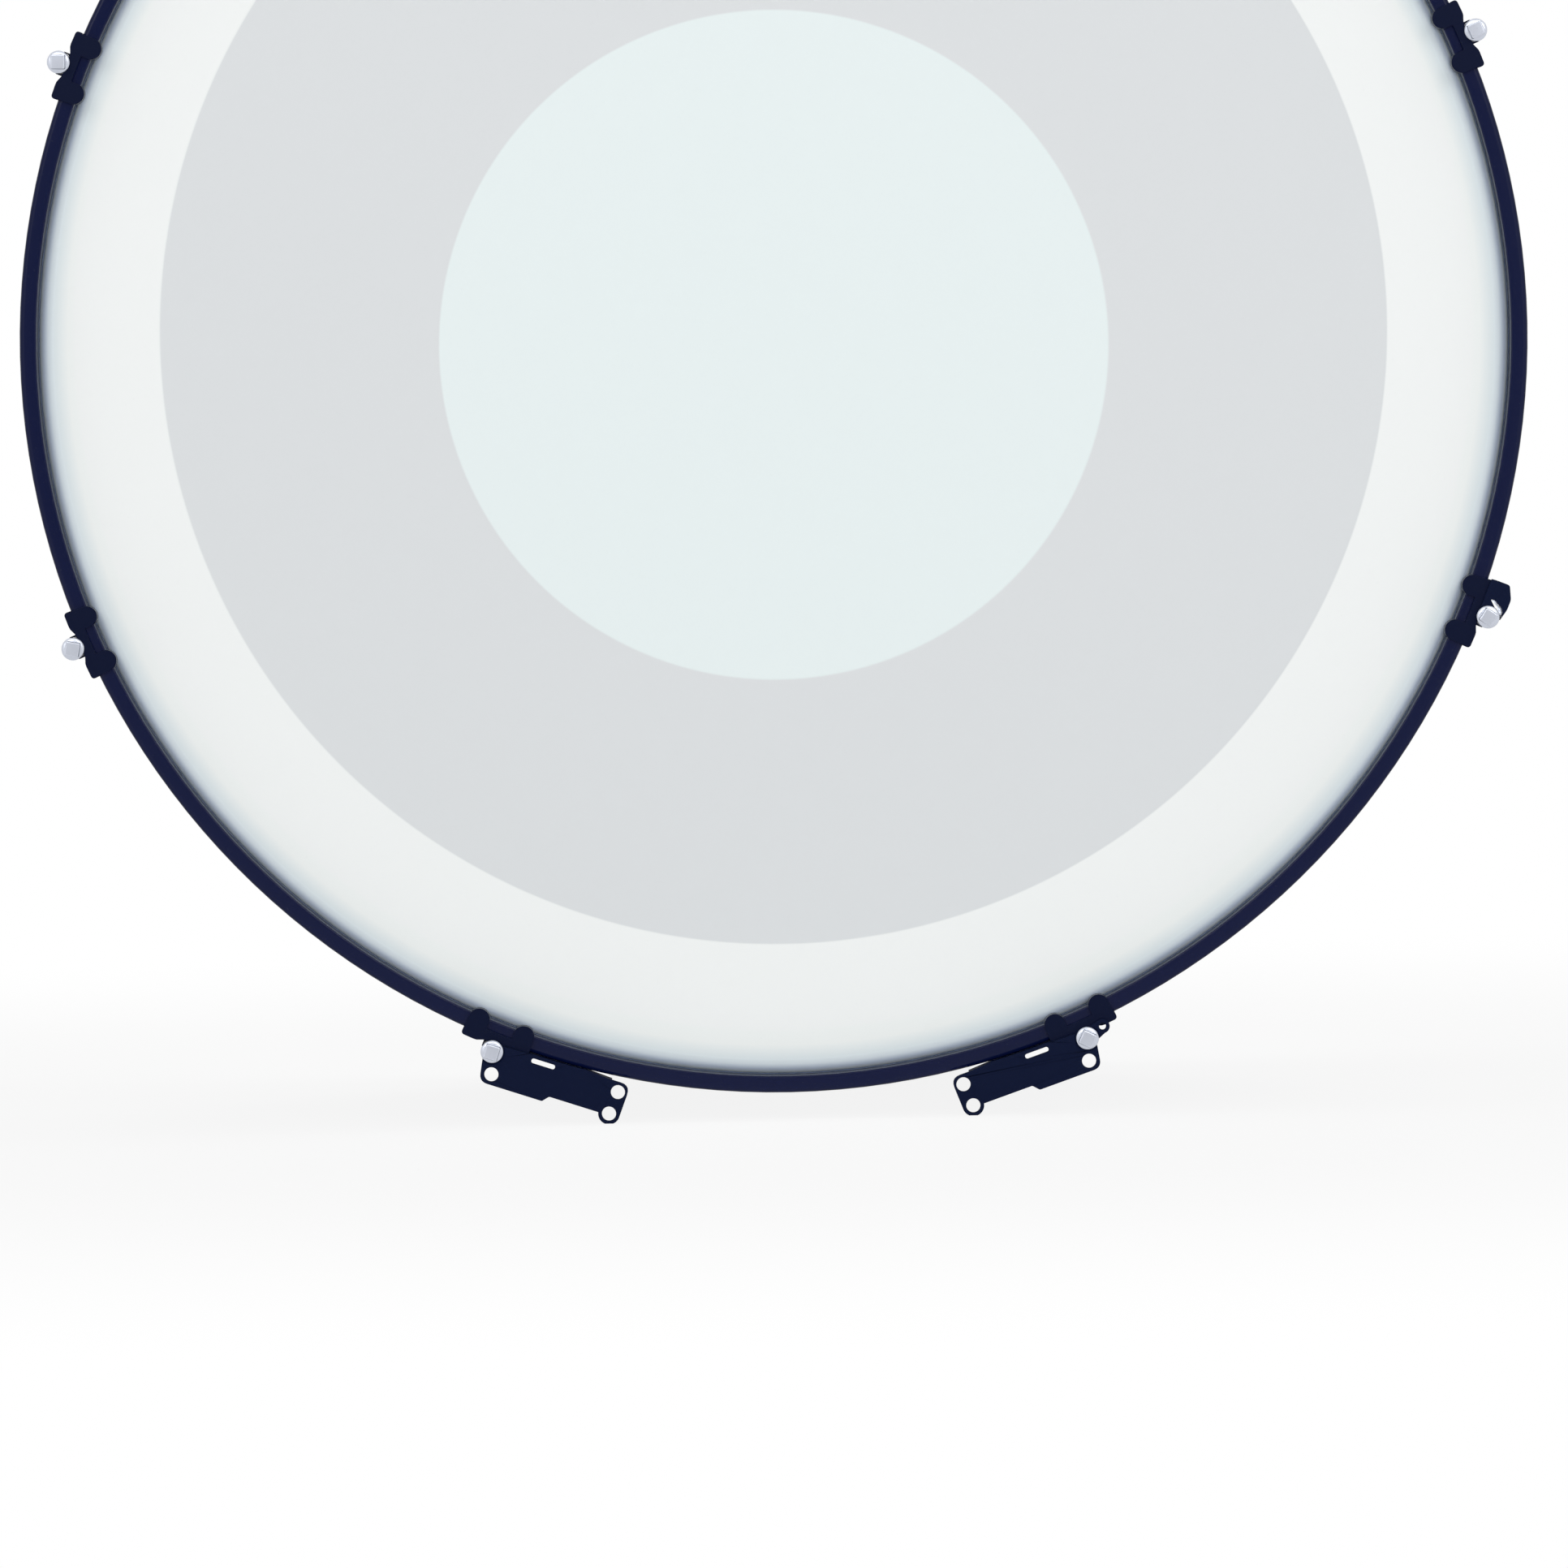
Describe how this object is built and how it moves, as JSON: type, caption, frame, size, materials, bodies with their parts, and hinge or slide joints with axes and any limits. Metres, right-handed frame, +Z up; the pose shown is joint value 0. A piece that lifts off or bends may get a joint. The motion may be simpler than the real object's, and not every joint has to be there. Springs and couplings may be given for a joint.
{
  "type": "marching bass drum",
  "caption": "Marching bass drum with lacquered hoops, claw clamps, key rods, film heads on metal flesh hoops, slim lugs and carrier plates.",
  "frame": {"origin": "centre of the drum's outline in plan, at the level of the flats on the four carrier plates' lobes, on which it stands", "axes": "+Y along the drum's axis from the front head to the rear head, +Z up, +X to the right as seen facing the front head"},
  "size_m": [0.7352, 0.4164, 0.7479],
  "materials": {
    "shell_lacquer": "gloss",
    "hoop_lacquer": "gloss",
    "clear_film": "satin",
    "patch_film": "satin",
    "damping_foam": "matte",
    "flesh_metal": "satin",
    "claw_black": "satin",
    "lug_black": "satin",
    "plate_black": "satin",
    "chrome_plate": "polished"
  },
  "bodies": {
    "drum": {"shell": "shell_lacquer", "vent_eyelet": "chrome_plate", "hoop_front": "hoop_lacquer", "head_film_front": "clear_film", "flesh_hoop_front": "flesh_metal", "centre_patch_front": "patch_film", "damping_ring_front": "damping_foam", "hoop_rear": "hoop_lacquer", "head_film_rear": "clear_film", "flesh_hoop_rear": "flesh_metal", "centre_patch_rear": "patch_film", "damping_ring_rear": "damping_foam", "lug_1": "lug_black", "lug_2": "lug_black", "lug_3": "lug_black", "lug_4": "lug_black", "lug_5": "lug_black", "lug_6": "lug_black", "lug_7": "lug_black", "lug_8": "lug_black"},
    "clamp_front_1": {"claw_front_1": "claw_black"},
    "rod_front_1": {"tension_rod_front_1": "chrome_plate"},
    "clamp_front_2": {"claw_front_2": "claw_black"},
    "rod_front_2": {"tension_rod_front_2": "chrome_plate"},
    "clamp_front_3": {"claw_front_3": "claw_black"},
    "rod_front_3": {"tension_rod_front_3": "chrome_plate"},
    "clamp_front_4": {"claw_front_4": "claw_black"},
    "rod_front_4": {"tension_rod_front_4": "chrome_plate"},
    "clamp_front_5": {"claw_front_5": "claw_black"},
    "rod_front_5": {"tension_rod_front_5": "chrome_plate"},
    "clamp_front_6": {"claw_front_6": "claw_black", "carrier_plate_front_left": "plate_black"},
    "rod_front_6": {"tension_rod_front_6": "chrome_plate"},
    "clamp_front_7": {"claw_front_7": "claw_black", "carrier_plate_front_right": "plate_black"},
    "rod_front_7": {"tension_rod_front_7": "chrome_plate"},
    "clamp_front_8": {"claw_front_8": "claw_black", "sling_hook": "plate_black"},
    "rod_front_8": {"tension_rod_front_8": "chrome_plate"},
    "clamp_rear_1": {"claw_rear_1": "claw_black"},
    "rod_rear_1": {"tension_rod_rear_1": "chrome_plate"},
    "clamp_rear_2": {"claw_rear_2": "claw_black"},
    "rod_rear_2": {"tension_rod_rear_2": "chrome_plate"},
    "clamp_rear_3": {"claw_rear_3": "claw_black"},
    "rod_rear_3": {"tension_rod_rear_3": "chrome_plate"},
    "clamp_rear_4": {"claw_rear_4": "claw_black"},
    "rod_rear_4": {"tension_rod_rear_4": "chrome_plate"},
    "clamp_rear_5": {"claw_rear_5": "claw_black"},
    "rod_rear_5": {"tension_rod_rear_5": "chrome_plate"},
    "clamp_rear_6": {"claw_rear_6": "claw_black", "carrier_plate_rear_left": "plate_black"},
    "rod_rear_6": {"tension_rod_rear_6": "chrome_plate"},
    "clamp_rear_7": {"claw_rear_7": "claw_black", "carrier_plate_rear_right": "plate_black"},
    "rod_rear_7": {"tension_rod_rear_7": "chrome_plate"},
    "clamp_rear_8": {"claw_rear_8": "claw_black"},
    "rod_rear_8": {"tension_rod_rear_8": "chrome_plate"}
  },
  "joints": [
    {"name": "claw_front_1_lift", "type": "slide", "parent": "drum", "child": "clamp_front_1", "axis": [0, -1, 0], "range_m": [0, 0.005]},
    {"name": "rod_front_1_turn", "type": "hinge", "parent": "clamp_front_1", "child": "rod_front_1", "pos_m": [0.34488, -0.1963, 0.5232], "axis": [0, -1, 0], "range_deg": [0, 1800]},
    {"name": "claw_front_2_lift", "type": "slide", "parent": "drum", "child": "clamp_front_2", "axis": [0, -1, 0], "range_m": [0, 0.005]},
    {"name": "rod_front_2_turn", "type": "hinge", "parent": "clamp_front_2", "child": "rod_front_2", "pos_m": [0.14286, -0.1963, 0.72523], "axis": [0, -1, 0], "range_deg": [0, 1800]},
    {"name": "claw_front_3_lift", "type": "slide", "parent": "drum", "child": "clamp_front_3", "axis": [0, -1, 0], "range_m": [0, 0.005]},
    {"name": "rod_front_3_turn", "type": "hinge", "parent": "clamp_front_3", "child": "rod_front_3", "pos_m": [-0.14286, -0.1963, 0.72523], "axis": [0, -1, 0], "range_deg": [0, 1800]},
    {"name": "claw_front_4_lift", "type": "slide", "parent": "drum", "child": "clamp_front_4", "axis": [0, -1, 0], "range_m": [0, 0.005]},
    {"name": "rod_front_4_turn", "type": "hinge", "parent": "clamp_front_4", "child": "rod_front_4", "pos_m": [-0.34488, -0.1963, 0.5232], "axis": [0, -1, 0], "range_deg": [0, 1800]},
    {"name": "claw_front_5_lift", "type": "slide", "parent": "drum", "child": "clamp_front_5", "axis": [0, -1, 0], "range_m": [0, 0.005]},
    {"name": "rod_front_5_turn", "type": "hinge", "parent": "clamp_front_5", "child": "rod_front_5", "pos_m": [-0.34488, -0.1963, 0.23749], "axis": [0, -1, 0], "range_deg": [0, 1800]},
    {"name": "claw_front_6_lift", "type": "slide", "parent": "drum", "child": "clamp_front_6", "axis": [0, -1, 0], "range_m": [0, 0.005]},
    {"name": "rod_front_6_turn", "type": "hinge", "parent": "clamp_front_6", "child": "rod_front_6", "pos_m": [-0.14526, -0.1963, 0.03647], "axis": [0, -1, 0], "range_deg": [0, 1800]},
    {"name": "claw_front_7_lift", "type": "slide", "parent": "drum", "child": "clamp_front_7", "axis": [0, -1, 0], "range_m": [0, 0.005]},
    {"name": "rod_front_7_turn", "type": "hinge", "parent": "clamp_front_7", "child": "rod_front_7", "pos_m": [0.14526, -0.1963, 0.03647], "axis": [0, -1, 0], "range_deg": [0, 1800]},
    {"name": "claw_front_8_lift", "type": "slide", "parent": "drum", "child": "clamp_front_8", "axis": [0, -1, 0], "range_m": [0, 0.005]},
    {"name": "rod_front_8_turn", "type": "hinge", "parent": "clamp_front_8", "child": "rod_front_8", "pos_m": [0.34488, -0.1963, 0.23749], "axis": [0, -1, 0], "range_deg": [0, 1800]},
    {"name": "claw_rear_1_lift", "type": "slide", "parent": "drum", "child": "clamp_rear_1", "axis": [0, 1, 0], "range_m": [0, 0.005]},
    {"name": "rod_rear_1_turn", "type": "hinge", "parent": "clamp_rear_1", "child": "rod_rear_1", "pos_m": [0.34488, 0.1963, 0.5232], "axis": [0, 1, 0], "range_deg": [0, 1800]},
    {"name": "claw_rear_2_lift", "type": "slide", "parent": "drum", "child": "clamp_rear_2", "axis": [0, 1, 0], "range_m": [0, 0.005]},
    {"name": "rod_rear_2_turn", "type": "hinge", "parent": "clamp_rear_2", "child": "rod_rear_2", "pos_m": [0.14286, 0.1963, 0.72523], "axis": [0, 1, 0], "range_deg": [0, 1800]},
    {"name": "claw_rear_3_lift", "type": "slide", "parent": "drum", "child": "clamp_rear_3", "axis": [0, 1, 0], "range_m": [0, 0.005]},
    {"name": "rod_rear_3_turn", "type": "hinge", "parent": "clamp_rear_3", "child": "rod_rear_3", "pos_m": [-0.14286, 0.1963, 0.72523], "axis": [0, 1, 0], "range_deg": [0, 1800]},
    {"name": "claw_rear_4_lift", "type": "slide", "parent": "drum", "child": "clamp_rear_4", "axis": [0, 1, 0], "range_m": [0, 0.005]},
    {"name": "rod_rear_4_turn", "type": "hinge", "parent": "clamp_rear_4", "child": "rod_rear_4", "pos_m": [-0.34488, 0.1963, 0.5232], "axis": [0, 1, 0], "range_deg": [0, 1800]},
    {"name": "claw_rear_5_lift", "type": "slide", "parent": "drum", "child": "clamp_rear_5", "axis": [0, 1, 0], "range_m": [0, 0.005]},
    {"name": "rod_rear_5_turn", "type": "hinge", "parent": "clamp_rear_5", "child": "rod_rear_5", "pos_m": [-0.34488, 0.1963, 0.23749], "axis": [0, 1, 0], "range_deg": [0, 1800]},
    {"name": "claw_rear_6_lift", "type": "slide", "parent": "drum", "child": "clamp_rear_6", "axis": [0, 1, 0], "range_m": [0, 0.005]},
    {"name": "rod_rear_6_turn", "type": "hinge", "parent": "clamp_rear_6", "child": "rod_rear_6", "pos_m": [-0.14526, 0.1963, 0.03647], "axis": [0, 1, 0], "range_deg": [0, 1800]},
    {"name": "claw_rear_7_lift", "type": "slide", "parent": "drum", "child": "clamp_rear_7", "axis": [0, 1, 0], "range_m": [0, 0.005]},
    {"name": "rod_rear_7_turn", "type": "hinge", "parent": "clamp_rear_7", "child": "rod_rear_7", "pos_m": [0.14526, 0.1963, 0.03647], "axis": [0, 1, 0], "range_deg": [0, 1800]},
    {"name": "claw_rear_8_lift", "type": "slide", "parent": "drum", "child": "clamp_rear_8", "axis": [0, 1, 0], "range_m": [0, 0.005]},
    {"name": "rod_rear_8_turn", "type": "hinge", "parent": "clamp_rear_8", "child": "rod_rear_8", "pos_m": [0.34488, 0.1963, 0.23749], "axis": [0, 1, 0], "range_deg": [0, 1800]}
  ],
  "couplings": [
    {"joint": "rod_front_1_turn", "follows": "claw_front_1_lift", "rad_per_m": 6283.2},
    {"joint": "rod_front_2_turn", "follows": "claw_front_2_lift", "rad_per_m": 6283.2},
    {"joint": "rod_front_3_turn", "follows": "claw_front_3_lift", "rad_per_m": 6283.2},
    {"joint": "rod_front_4_turn", "follows": "claw_front_4_lift", "rad_per_m": 6283.2},
    {"joint": "rod_front_5_turn", "follows": "claw_front_5_lift", "rad_per_m": 6283.2},
    {"joint": "rod_front_6_turn", "follows": "claw_front_6_lift", "rad_per_m": 6283.2},
    {"joint": "rod_front_7_turn", "follows": "claw_front_7_lift", "rad_per_m": 6283.2},
    {"joint": "rod_front_8_turn", "follows": "claw_front_8_lift", "rad_per_m": 6283.2},
    {"joint": "rod_rear_1_turn", "follows": "claw_rear_1_lift", "rad_per_m": 6283.2},
    {"joint": "rod_rear_2_turn", "follows": "claw_rear_2_lift", "rad_per_m": 6283.2},
    {"joint": "rod_rear_3_turn", "follows": "claw_rear_3_lift", "rad_per_m": 6283.2},
    {"joint": "rod_rear_4_turn", "follows": "claw_rear_4_lift", "rad_per_m": 6283.2},
    {"joint": "rod_rear_5_turn", "follows": "claw_rear_5_lift", "rad_per_m": 6283.2},
    {"joint": "rod_rear_6_turn", "follows": "claw_rear_6_lift", "rad_per_m": 6283.2},
    {"joint": "rod_rear_7_turn", "follows": "claw_rear_7_lift", "rad_per_m": 6283.2},
    {"joint": "rod_rear_8_turn", "follows": "claw_rear_8_lift", "rad_per_m": 6283.2}
  ]
}
